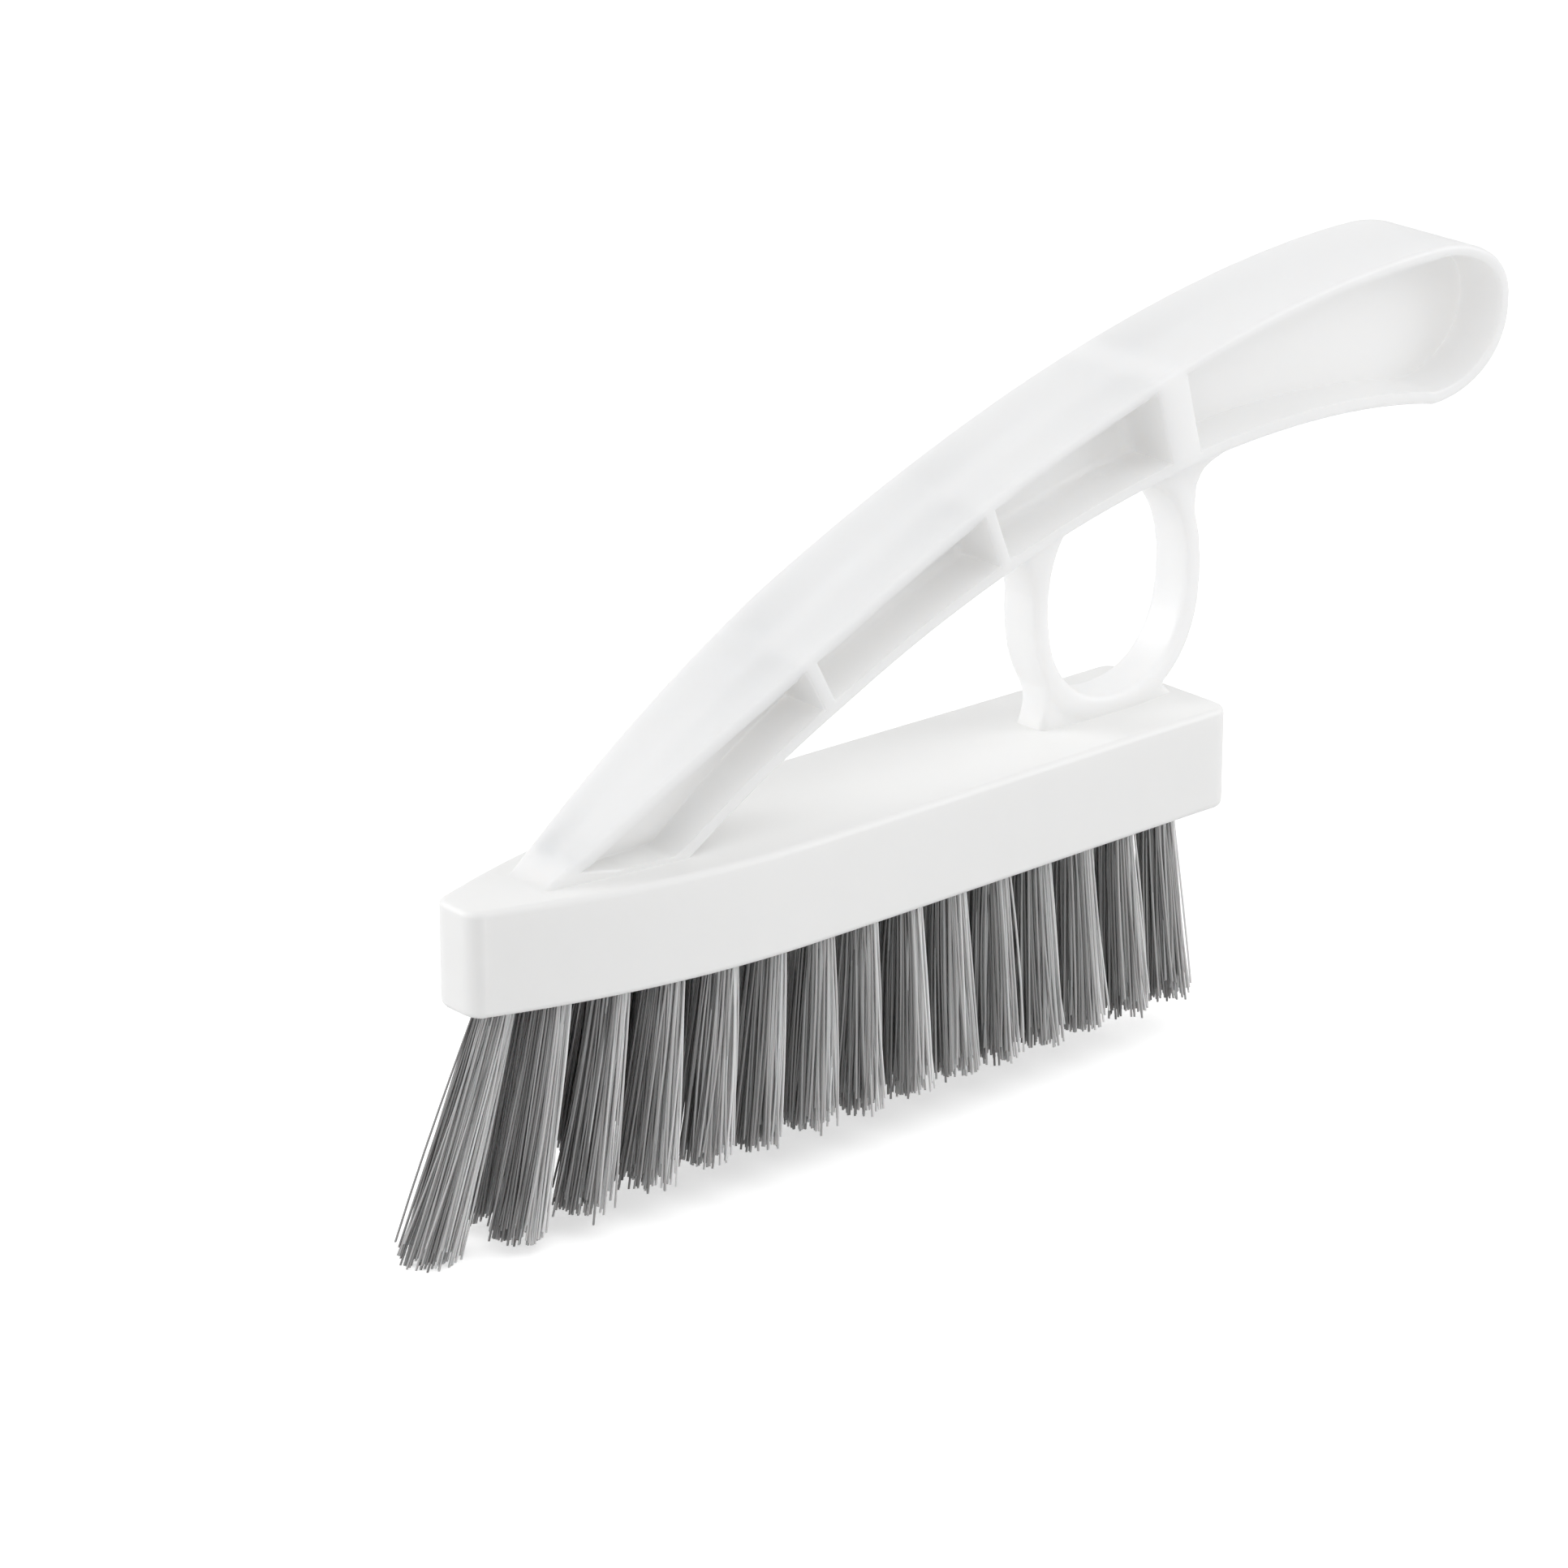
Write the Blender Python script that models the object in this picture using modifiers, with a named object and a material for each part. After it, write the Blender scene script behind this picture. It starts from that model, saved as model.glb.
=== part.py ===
"""A bathroom cleaning brush.

One plastic moulding makes the block, the arched handle above it and the finger ring between them.
The block is filled with 29 bristle tufts, each held in a blind hole by a flat metal anchor.

Lengths are in metres. x runs from the block's nose to the handle's end, y across the brush and z
up. Shapes are drawn from the block's nose and underside, and one empty carries them to their place.
"""

import math
import random

import bmesh
import bpy
import numpy as np

MM = 0.001

# Block
BLOCK_LENGTH = 104.4 * MM
BLOCK_WIDTH = 21.4 * MM
BLOCK_HEIGHT = 12.1 * MM
NOSE_WIDTH = 6.0 * MM
REAR_WIDTH = 19.9 * MM
WIDEST_X = 40.1 * MM
NOSE_CORNER_RADIUS = 1.8 * MM
REAR_CORNER_RADIUS = 2.2 * MM
BLOCK_EDGE_RADIUS = 0.8 * MM
SIDE_POINTS = 19
CORNER_POINTS = 5

# Handle, whose arch runs from its foot on the block to its rounded end
FOOT_X = 10.3 * MM
ARCH_LENGTH = 128.6 * MM
ARCH_RISE = 46.8 * MM
ARCH_POWER = 1.79
END_ROUND_LENGTH = 12.3 * MM
END_NOSE_SHARE = 0.56
END_FULLNESS = 0.88
END_TURN = math.radians(78)
FOOT_THICKNESS = 12.0 * MM
WAIST_THICKNESS = 8.3 * MM
END_THICKNESS = 18.9 * MM
WAIST_SHARE = 0.25
THICKENING_POWER = 1.7
FOOT_WIDTH = 6.6 * MM
GRIP_WIDTH = 14.2 * MM
WIDENING_LENGTH = 40.0 * MM
WIDENING_POWER = 1.5
HANDLE_EDGE_RADIUS = 0.5 * MM
HANDLE_STEPS = 30
END_STEPS = 6

# Open sides of the handle
TOP_FLANGE = 1.4 * MM
BOTTOM_FLANGE = 1.6 * MM
END_WALL = 1.6 * MM
WEB_THICKNESS = 1.8 * MM
POCKET_FLOOR = 0.6 * MM
RIB_THICKNESS = 1.6 * MM
WIDE_RIB_THICKNESS = 4.6 * MM
POCKET_START_SHARE = 0.03
RIB_SHARES = (0.256, 0.454)
WIDE_RIB_SHARE = 0.668

# Finger ring
RING_X = 93.1 * MM
RING_GAP = 3.0 * MM
RING_HOLE_DIAMETER = 21.8 * MM
RING_WALL = 2.6 * MM
RING_WIDTH = 5.8 * MM
RING_SIDES = 48
RING_EDGE_RADIUS = 0.5 * MM
NECK_FRONT_REACH = 8.3 * MM
NECK_REAR_REACH = 12.0 * MM
NECK_REAR_FLARE = 2.2 * MM
NECK_START = 2.0 * MM
NECK_FLARE = 5.0 * MM
NECK_WIDTH_SHARE = 0.93
NECK_COLUMNS = 20
NECK_ROWS = 6
RING_FOOT_LENGTH = 18.4 * MM
RING_FOOT_WIDTH = 12.0 * MM
RING_FOOT_TOP_LENGTH = 10.2 * MM
RING_FOOT_SIDES = 28
RING_FOOT_STEPS = 5
FLARE_INSET = 0.25 * MM
SEAT_DEPTH = 1.0 * MM

# Holes, tufts and anchors
TUFT_PAIRS = 14
NOSE_TUFT_X = 6.6 * MM
FIRST_PAIR_X = 11.3 * MM
LAST_PAIR_MARGIN = 8.4 * MM
TUFT_EDGE_MARGIN = 3.75 * MM
FIRST_PAIR_OFFSET = 2.9 * MM
HOLE_DIAMETER = 4.6 * MM
HOLE_DEPTH = 7.5 * MM
HOLE_SIDES = 12
CLEARANCE = 0.3 * MM
BRISTLE_LENGTH = 22.2 * MM
NOSE_EXTRA_LENGTH = 4.9 * MM
NOSE_EXTRA_REACH = 25.0 * MM
NOSE_EXTRA_POWER = 1.5
RAGGED_LENGTH = 1.2 * MM
TRIM_DEPTH = 0.5 * MM
TUFT_TIP_DIAMETER = 6.2 * MM
TUFT_OUTWARD_LEAN = 0.7 * MM
NOSE_LEAN_SHARE = 0.395
PAIR_LEAN_SHARE = 0.25
REAR_LEAN_SHARE = 0.06
UPRIGHT_X = 60.5 * MM
STRANDS_ACROSS = 4
STRAND_TIP_SHARE = 0.78
STRAND_STRAY_SHARE = 0.12
ANCHOR_THICKNESS = 0.4 * MM
ANCHOR_HEIGHT = 1.6 * MM

OVERRUN = 2.0 * MM
WELD_DISTANCE = 0.01 * MM
SHARP_ANGLE = math.radians(50)
FLAT_ANGLE = math.radians(0.01)

RING_RADIUS = RING_HOLE_DIAMETER / 2
RING_OUTER_RADIUS = RING_RADIUS + RING_WALL
RING_Z = BLOCK_HEIGHT + RING_GAP + RING_RADIUS
PLUG_RADIUS = HOLE_DIAMETER / 2 - CLEARANCE
END_ROUND_X = FOOT_X + ARCH_LENGTH
HANDLE_END_X = END_ROUND_X + END_ROUND_LENGTH
LONGEST_BRISTLE = BRISTLE_LENGTH + NOSE_EXTRA_LENGTH
NOSE_REACH = LONGEST_BRISTLE * NOSE_LEAN_SHARE + TUFT_TIP_DIAMETER / 2 - NOSE_TUFT_X


def clear_scene():
    for item in list(bpy.data.objects):
        bpy.data.objects.remove(item)


def new_collection(name):
    collection = bpy.data.collections.new(name)
    bpy.context.scene.collection.children.link(collection)
    return collection


def new_material(name, color, roughness, metallic=0.0):
    material = bpy.data.materials.new(name)
    material.use_nodes = True
    shader = material.node_tree.nodes["Principled BSDF"]
    shader.inputs["Base Color"].default_value = (*color, 1.0)
    shader.inputs["Roughness"].default_value = roughness
    shader.inputs["Metallic"].default_value = metallic
    return material


def new_object(name, bm, collection, parent, material=None):
    """The bmesh as an object. It is a cutter or another helper where it has no material."""
    bmesh.ops.recalc_face_normals(bm, faces=bm.faces)
    mesh = bpy.data.meshes.new(name)
    bm.to_mesh(mesh)
    bm.free()
    item = bpy.data.objects.new(name, mesh)
    collection.objects.link(item)
    item.parent = parent
    if material:
        mesh.materials.append(material)
        mesh.shade_smooth()
        mesh.set_sharp_from_angle(angle=SHARP_ANGLE)
    else:
        item.hide_render = True
        item.display_type = "WIRE"
    return item


def add_bevel(item, width, segments=2):
    bevel = item.modifiers.new("edge radius", "BEVEL")
    bevel.width = width
    bevel.segments = segments
    bevel.limit_method = "ANGLE"
    bevel.angle_limit = SHARP_ANGLE
    item.modifiers.new("flat faces", "TRIANGULATE")


def add_boolean(item, operation, collection):
    boolean = item.modifiers.new(collection.name, "BOOLEAN")
    boolean.operation = operation
    boolean.solver = "EXACT"
    boolean.operand_type = "COLLECTION"
    boolean.collection = collection


def blend(start, end, share):
    return start + (end - start) * share


# Block


def block_half_width(x):
    """Half the block's width at x, before its corners are rounded."""
    if x < WIDEST_X:
        narrowing = (1 - x / WIDEST_X) ** 2
        return blend(BLOCK_WIDTH, NOSE_WIDTH, narrowing) / 2
    share = (x - WIDEST_X) / (BLOCK_LENGTH - WIDEST_X)
    narrowing = share * share * (3 - 2 * share)
    return blend(BLOCK_WIDTH, REAR_WIDTH, narrowing) / 2


def block_side():
    """The plan outline on one side, as (x, half width) from the nose to the rear."""
    points = []
    corner = NOSE_CORNER_RADIUS
    flat = NOSE_WIDTH / 2 - corner
    for turn in np.linspace(0, math.pi / 2, CORNER_POINTS):
        half = blend(flat, block_half_width(corner), math.sin(turn))
        points.append((corner - corner * math.cos(turn), half))
    for x in np.linspace(corner, BLOCK_LENGTH - REAR_CORNER_RADIUS, SIDE_POINTS)[1:-1]:
        points.append((x, block_half_width(x)))
    corner = REAR_CORNER_RADIUS
    flat = REAR_WIDTH / 2 - corner
    for turn in np.linspace(0, math.pi / 2, CORNER_POINTS):
        x = BLOCK_LENGTH - corner + corner * math.sin(turn)
        points.append((x, flat + corner * math.cos(turn)))
    return points


def mesh_of_curve(item):
    """The evaluated curve as a bmesh, with its loose caps welded to its sides."""
    bpy.context.view_layer.update()
    evaluated = item.evaluated_get(bpy.context.evaluated_depsgraph_get())
    mesh = bpy.data.meshes.new_from_object(evaluated)
    bm = bmesh.new()
    bm.from_mesh(mesh)
    bm.transform(item.matrix_world)
    bpy.data.meshes.remove(mesh)
    bpy.data.objects.remove(item)
    bmesh.ops.remove_doubles(bm, verts=bm.verts, dist=WELD_DISTANCE)
    bmesh.ops.dissolve_limit(bm, angle_limit=FLAT_ANGLE, verts=bm.verts, edges=bm.edges)
    return bm


def make_block(collection, parent, material):
    side = block_side()
    outline = [(x, -half) for x, half in side]
    outline += [(x, half) for x, half in reversed(side)]
    curve = bpy.data.curves.new("block outline", "CURVE")
    curve.dimensions = "2D"
    curve.fill_mode = "BOTH"
    curve.extrude = BLOCK_HEIGHT / 2
    spline = curve.splines.new("POLY")
    spline.points.add(len(outline) - 1)
    spline.use_cyclic_u = True
    for point, (x, y) in zip(spline.points, outline):
        point.co = (x, y, 0, 1)
    item = bpy.data.objects.new("block outline", curve)
    item.location.z = BLOCK_HEIGHT / 2
    collection.objects.link(item)
    block = new_object("brush_body", mesh_of_curve(item), collection, parent, material)
    add_bevel(block, BLOCK_EDGE_RADIUS)
    return block


# Plates, the solids between two side faces that stand on a grid


def make_plate(name, columns, rows, place, near, far, collection, parent):
    """place(u, v) gives a grid point's x and z, and near(x, z) and far(x, z) its two y values."""
    bm = bmesh.new()
    bmesh.ops.create_grid(bm, x_segments=columns, y_segments=rows, size=0.5)
    for vert in bm.verts:
        x, z = place(vert.co.x + 0.5, vert.co.y + 0.5)
        vert.co = (x, near(x, z), z)
    grown = bmesh.ops.extrude_face_region(bm, geom=bm.faces[:])
    for item in grown["geom"]:
        if isinstance(item, bmesh.types.BMVert):
            item.co.y = far(item.co.x, item.co.z)
    bmesh.ops.triangulate(bm, faces=bm.faces)
    return new_object(name, bm, collection, parent)


# Handle


def handle_half_width(x):
    share = min(max((x - FOOT_X) / WIDENING_LENGTH, 0), 1)
    return blend(FOOT_WIDTH, GRIP_WIDTH, 1 - (1 - share) ** WIDENING_POWER) / 2


def handle_thickness(share):
    if share < WAIST_SHARE:
        return blend(WAIST_THICKNESS, FOOT_THICKNESS, (1 - share / WAIST_SHARE) ** 2)
    past_waist = (share - WAIST_SHARE) / (1 - WAIST_SHARE)
    return blend(WAIST_THICKNESS, END_THICKNESS, past_waist**THICKENING_POWER)


def handle_rung(share, top_inset=0.0, bottom_inset=0.0, end_inset=0.0):
    """The upper and lower point of the handle's side outline, moved in by the insets.

    share runs from 0 at the foot to 1 where the end's rounding starts, and to 2 at the end's flat.
    """
    arch_share = min(share, 1)
    left = 1 - arch_share
    x = FOOT_X + ARCH_LENGTH * arch_share
    z = BLOCK_HEIGHT + ARCH_RISE * (1 - left**ARCH_POWER)
    slope = math.atan(ARCH_RISE / ARCH_LENGTH * ARCH_POWER * left ** (ARCH_POWER - 1))
    down = np.array([math.sin(slope), -math.cos(slope)])
    upper = np.array([x, z]) + down * top_inset
    lower = np.array([x, z]) + down * (handle_thickness(arch_share) - bottom_inset)
    if share <= 1:
        return upper, lower
    turn = (share - 1) * END_TURN
    reach = (END_ROUND_LENGTH - end_inset) * math.sin(turn) / math.sin(END_TURN)
    middle = z - END_THICKNESS * (1 - END_NOSE_SHARE)
    spread = math.cos(turn) ** END_FULLNESS
    upper = np.array([x + reach, blend(middle, upper[1], spread)])
    lower = np.array([x + reach, blend(middle, lower[1], spread)])
    return upper, lower


def underside_height(x):
    """The height of the handle's lower face at x."""
    points = np.array([handle_rung(share)[1] for share in np.linspace(0, 1, 2 * HANDLE_STEPS)])
    return float(np.interp(x, points[:, 0], points[:, 1]))


def handle_shares(first=0.0, last=2.0):
    """The shares of the handle's rungs from first to last, closer together round its end."""
    arch = np.linspace(0, 1, HANDLE_STEPS + 1)
    end = np.linspace(1, 2, END_STEPS + 1)[1:]
    least = (arch[1] - arch[0]) / 2
    inner = [share for share in (*arch, *end) if first + least < share < last - least]
    return [first, *inner, last]


def make_handle(collection, parent):
    shares = handle_shares()
    columns = len(shares) - 1
    deepest = BLOCK_HEIGHT - SEAT_DEPTH

    def place(u, v):
        upper, lower = handle_rung(shares[round(u * columns)])
        x, z = blend(lower, upper, v)
        return x, max(z, deepest + (v - 1) * SEAT_DEPTH)

    handle = make_plate(
        "handle solid",
        columns,
        1,
        place,
        lambda x, z: -handle_half_width(x),
        lambda x, z: handle_half_width(x),
        collection,
        parent,
    )
    add_bevel(handle, HANDLE_EDGE_RADIUS)
    return handle


def pocket_stretches():
    """The stretches of the open sides between the foot, the cross ribs and the end."""
    stretches = []
    start = POCKET_START_SHARE
    ribs = [(share, RIB_THICKNESS) for share in RIB_SHARES] + [(WIDE_RIB_SHARE, WIDE_RIB_THICKNESS)]
    for share, thickness in ribs:
        half = thickness / 2 / ARCH_LENGTH
        stretches.append((start, share - half))
        start = share + half
    return stretches + [(start, 2)]


def make_pocket(name, first, last, side, collection, parent):
    shares = handle_shares(first, last)
    columns = len(shares) - 1
    lowest = BLOCK_HEIGHT + POCKET_FLOOR

    def place(u, v):
        share = shares[round(u * columns)]
        upper, lower = handle_rung(share, TOP_FLANGE, BOTTOM_FLANGE, END_WALL)
        x, z = blend(lower, upper, v)
        return x, max(z, lowest)

    return make_plate(
        name,
        columns,
        1,
        place,
        lambda x, z: side * WEB_THICKNESS / 2,
        lambda x, z: side * (GRIP_WIDTH / 2 + OVERRUN),
        collection,
        parent,
    )


# Finger ring


def make_cylinder_along_y(name, radius, width, collection, parent):
    bm = bmesh.new()
    bmesh.ops.create_cone(
        bm, cap_ends=True, segments=RING_SIDES, radius1=radius, radius2=radius, depth=width
    )
    item = new_object(name, bm, collection, parent)
    item.location = (RING_X, 0, RING_Z)
    item.rotation_euler.x = math.pi / 2
    return item


def ring_middle_height(x):
    """How far the middle of the ring's wall lies above or below its centre at x."""
    middle = RING_RADIUS + RING_WALL / 2
    return math.sqrt(max(middle**2 - (x - RING_X) ** 2, 0))


def make_neck(collection, parent):
    """The flare between the ring and the handle's underside."""
    ring_front = RING_X - RING_OUTER_RADIUS
    front = ring_front - NECK_FRONT_REACH
    rear = RING_X + NECK_REAR_REACH

    def bottom(x):
        top = underside_height(x)
        start = RING_Z + NECK_START
        if x < ring_front:
            share = (x - front) / NECK_FRONT_REACH
            return blend(top, start, 1 - math.sqrt(1 - share**2))
        return min(max(start, RING_Z + ring_middle_height(x)), top)

    def place(u, v):
        x = blend(front, rear + NECK_REAR_FLARE * v**3, u)
        top = underside_height(x) + BOTTOM_FLANGE / 2
        return x, blend(bottom(x), top, v)

    def half_width(x, z):
        share = min(max((underside_height(x) - z) / NECK_FLARE, 0), 1)
        widest = handle_half_width(x) * NECK_WIDTH_SHARE
        return blend(widest, RING_WIDTH / 2 - FLARE_INSET, 1 - (1 - share) ** 2)

    return make_plate(
        "ring neck",
        NECK_COLUMNS,
        NECK_ROWS,
        place,
        lambda x, z: -half_width(x, z),
        half_width,
        collection,
        parent,
    )


def make_ring_foot(collection, parent):
    """The round flare between the ring and the top of the block, one step of which is in the block."""
    height = RING_GAP - RING_WALL / 4
    step = height / RING_FOOT_STEPS
    top_width = RING_WIDTH - 2 * FLARE_INSET
    bm = bmesh.new()
    bmesh.ops.create_cone(bm, cap_ends=True, segments=RING_FOOT_SIDES, radius1=1, radius2=1, depth=1)
    upright = [edge for edge in bm.edges if edge.verts[0].co.z != edge.verts[1].co.z]
    bmesh.ops.subdivide_edges(bm, edges=upright, cuts=RING_FOOT_STEPS, use_grid_fill=True)
    for vert in bm.verts:
        rise = blend(-step, height, vert.co.z + 0.5)
        flare = (1 - max(rise, 0) / height) ** 2
        vert.co.x *= blend(RING_FOOT_TOP_LENGTH, RING_FOOT_LENGTH, flare) / 2
        vert.co.y *= blend(top_width, RING_FOOT_WIDTH, flare) / 2
        vert.co.z = BLOCK_HEIGHT + rise
    bmesh.ops.triangulate(bm, faces=bm.faces)
    foot = new_object("ring foot", bm, collection, parent)
    foot.location.x = RING_X
    return foot


# Holes, tufts and anchors


def tuft_places():
    """Each tuft's name, its root on the block's underside and its tip's place below it."""
    last = BLOCK_LENGTH - LAST_PAIR_MARGIN
    pitch = (last - FIRST_PAIR_X) / (TUFT_PAIRS - 1)
    nose_tip = NOSE_TUFT_X - LONGEST_BRISTLE * NOSE_LEAN_SHARE
    places = [("nose", NOSE_TUFT_X, 0.0, nose_tip, 0.0, LONGEST_BRISTLE)]
    for number in range(TUFT_PAIRS):
        x = FIRST_PAIR_X + number * pitch
        y = max(block_half_width(x) - TUFT_EDGE_MARGIN, FIRST_PAIR_OFFSET)
        near_nose = max(1 - (x - NOSE_TUFT_X) / NOSE_EXTRA_REACH, 0)
        length = BRISTLE_LENGTH + NOSE_EXTRA_LENGTH * near_nose**NOSE_EXTRA_POWER
        if x < UPRIGHT_X:
            lean = -PAIR_LEAN_SHARE * (UPRIGHT_X - x) / (UPRIGHT_X - FIRST_PAIR_X)
        else:
            lean = REAR_LEAN_SHARE * (x - UPRIGHT_X) / (last - UPRIGHT_X)
        tip_x = x + lean * length
        tip_y = y + TUFT_OUTWARD_LEAN
        places.append((f"near_{number + 1:02d}", x, -y, tip_x, -tip_y, length))
        places.append((f"far_{number + 1:02d}", x, y, tip_x, tip_y, length))
    return places


def make_hole_cutter(places, collection, parent):
    bm = bmesh.new()
    for _, x, y, _, _, _ in places:
        made = bmesh.ops.create_cone(
            bm,
            cap_ends=True,
            segments=HOLE_SIDES,
            radius1=HOLE_DIAMETER / 2,
            radius2=HOLE_DIAMETER / 2,
            depth=HOLE_DEPTH + OVERRUN,
        )
        middle = (HOLE_DEPTH - OVERRUN) / 2
        bmesh.ops.translate(bm, verts=made["verts"], vec=(x, y, middle))
    return new_object("tuft holes", bm, collection, parent)


def box(bm, center, size):
    made = bmesh.ops.create_cube(bm, size=1)
    bmesh.ops.scale(bm, verts=made["verts"], vec=size)
    bmesh.ops.translate(bm, verts=made["verts"], vec=center)


def plug_top():
    return HOLE_DEPTH - CLEARANCE


def make_slot_cutter(places, collection, parent):
    """The slots across the tops of the plugs, in which the anchors lie."""
    bm = bmesh.new()
    depth = ANCHOR_HEIGHT + 2 * CLEARANCE
    for _, x, y, _, _, _ in places:
        size = (ANCHOR_THICKNESS + 2 * CLEARANCE, HOLE_DIAMETER, depth + OVERRUN)
        box(bm, (x, y, plug_top() + (OVERRUN - depth) / 2), size)
    return new_object("anchor slots", bm, collection, parent)


def make_anchor(name, x, y, collection, parent, material):
    bm = bmesh.new()
    box(bm, (0, 0, 0), (ANCHOR_THICKNESS, 2 * PLUG_RADIUS, ANCHOR_HEIGHT))
    anchor = new_object(name, bm, collection, parent, material)
    anchor.location = (x, y, plug_top() - CLEARANCE - ANCHOR_HEIGHT / 2)
    return anchor


def disc_point(u, v):
    """The point of the unit disc that the point u, v of the square from -1 to 1 goes to."""
    return u * math.sqrt(1 - v * v / 2), v * math.sqrt(1 - u * u / 2)


def make_tuft(name, root, tip, length, collection, parent, material):
    """A plug of packed bristle, and the strands that fan out of its lower end.

    The plug's lower end is a grid, and each of its cells runs down into one strand. The longest
    strands are trimmed flat.
    """
    chance = random.Random(name)
    bm = bmesh.new()
    bmesh.ops.create_grid(bm, x_segments=STRANDS_ACROSS, y_segments=STRANDS_ACROSS, size=1)
    for vert in bm.verts:
        u, v = disc_point(vert.co.x, vert.co.y)
        vert.co = (u * PLUG_RADIUS, v * PLUG_RADIUS, -CLEARANCE)
    lower = bm.faces[:]
    grown = bmesh.ops.extrude_face_region(bm, geom=lower)
    for item in grown["geom"]:
        if isinstance(item, bmesh.types.BMVert):
            item.co.z = plug_top()
    lean_x = tip[0] - root[0]
    lean_y = tip[1] - root[1]
    spread = TUFT_TIP_DIAMETER / 2 / PLUG_RADIUS
    stray = STRAND_STRAY_SHARE * TUFT_TIP_DIAMETER / STRANDS_ACROSS
    ends = bmesh.ops.extrude_discrete_faces(bm, faces=lower)["faces"]
    for end in ends:
        middle = end.calc_center_median()
        out = 1 - math.hypot(middle.x, middle.y) / PLUG_RADIUS
        x = middle.x * spread + lean_x + chance.uniform(-stray, stray) * out
        y = middle.y * spread + lean_y + chance.uniform(-stray, stray) * out
        z = max(chance.uniform(0, RAGGED_LENGTH) - TRIM_DEPTH, 0) - length
        for vert in end.verts:
            vert.co.x = x + (vert.co.x - middle.x) * spread * STRAND_TIP_SHARE
            vert.co.y = y + (vert.co.y - middle.y) * spread * STRAND_TIP_SHARE
            vert.co.z = z
    tuft = new_object(name, bm, collection, parent, material)
    tuft.location = (root[0], root[1], 0)
    return tuft


def make_body(parts, joined, cutters, parent, material, places):
    body = make_block(parts, parent, material)
    make_handle(joined, parent)
    make_neck(joined, parent)
    make_ring_foot(joined, parent)
    ring = make_cylinder_along_y("ring disc", RING_OUTER_RADIUS, RING_WIDTH, joined, parent)
    add_bevel(ring, RING_EDGE_RADIUS)
    for number, (first, last) in enumerate(pocket_stretches()):
        make_pocket(f"pocket {number + 1} near", first, last, -1, cutters, parent)
        make_pocket(f"pocket {number + 1} far", first, last, 1, cutters, parent)
    make_cylinder_along_y("finger hole", RING_RADIUS, GRIP_WIDTH + 2 * OVERRUN, cutters, parent)
    make_hole_cutter(places, cutters, parent)
    add_boolean(body, "UNION", joined)
    add_boolean(body, "DIFFERENCE", cutters)
    weld = body.modifiers.new("weld", "WELD")
    weld.merge_threshold = WELD_DISTANCE
    return body


def main():
    clear_scene()
    parts = new_collection("bathroom cleaning brush")
    joined = new_collection("pieces joined to the block")
    cutters = new_collection("cutters of the body")
    slots = new_collection("cutters of the tufts")
    plastic = new_material("white_plastic", (0.83, 0.83, 0.82), 0.35)
    bristle = new_material("grey_bristle", (0.27, 0.27, 0.27), 0.5)
    steel = new_material("anchor_steel", (0.6, 0.6, 0.6), 0.3, metallic=1.0)

    origin = bpy.data.objects.new("nose at the underside", None)
    origin.location.x = (NOSE_REACH - HANDLE_END_X) / 2
    origin.location.z = LONGEST_BRISTLE
    parts.objects.link(origin)

    places = tuft_places()
    make_body(parts, joined, cutters, origin, plastic, places)
    make_slot_cutter(places, slots, origin)
    for word, x, y, tip_x, tip_y, length in places:
        tuft = make_tuft(f"tuft_{word}", (x, y), (tip_x, tip_y), length, parts, origin, bristle)
        add_boolean(tuft, "DIFFERENCE", slots)
        make_anchor(f"anchor_{word}", x, y, parts, origin, steel)


main()
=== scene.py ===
"""The looks of a bathroom cleaning brush, laid out as an add-on and run as a script.

One white moulding makes the block, the arched handle and the finger ring, and 29 tufts of grey filament
stand in its holes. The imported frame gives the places. Lengths are in metres, and the moulding is drawn
from the block's nose and underside: x runs to the handle's end, y across the brush and z up.
"""

import math
import random

import bmesh
import bpy
import numpy as np
from bpy.props import FloatProperty, FloatVectorProperty, IntProperty, PointerProperty
from bpy.types import Operator, Panel, PropertyGroup
from mathutils import Matrix, Vector


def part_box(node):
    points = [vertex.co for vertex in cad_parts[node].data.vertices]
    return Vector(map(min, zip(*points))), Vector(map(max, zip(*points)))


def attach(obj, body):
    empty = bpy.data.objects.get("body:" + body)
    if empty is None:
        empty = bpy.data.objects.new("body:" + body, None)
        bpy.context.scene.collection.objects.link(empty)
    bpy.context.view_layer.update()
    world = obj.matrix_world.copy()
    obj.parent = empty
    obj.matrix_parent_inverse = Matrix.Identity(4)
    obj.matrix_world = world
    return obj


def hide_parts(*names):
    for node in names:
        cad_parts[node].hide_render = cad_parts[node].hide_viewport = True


bl_info = {
    "name": "Bathroom Cleaning Brush",
    "version": (1, 0, 0),
    "blender": (4, 5, 0),
    "location": "3D View > Sidebar > Cleaning Brush",
    "description": "Models a hand brush with an arched handle, a finger ring and grey bristle tufts",
    "category": "Add Mesh",
}

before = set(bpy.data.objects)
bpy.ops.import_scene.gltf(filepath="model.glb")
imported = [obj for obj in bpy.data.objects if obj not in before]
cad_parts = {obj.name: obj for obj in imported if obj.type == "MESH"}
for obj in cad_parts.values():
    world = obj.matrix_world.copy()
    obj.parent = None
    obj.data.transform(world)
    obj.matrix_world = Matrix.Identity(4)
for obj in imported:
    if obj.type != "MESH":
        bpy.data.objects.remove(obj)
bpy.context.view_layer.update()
body_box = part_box("brush_body")

MM = 0.001
NOSE = Vector((body_box[0].x, 0, body_box[0].z))
TUFTS = sorted(name.removeprefix("tuft_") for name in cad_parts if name.startswith("tuft_"))
GOLDEN_ANGLE = math.pi * (3 - math.sqrt(5))

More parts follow.
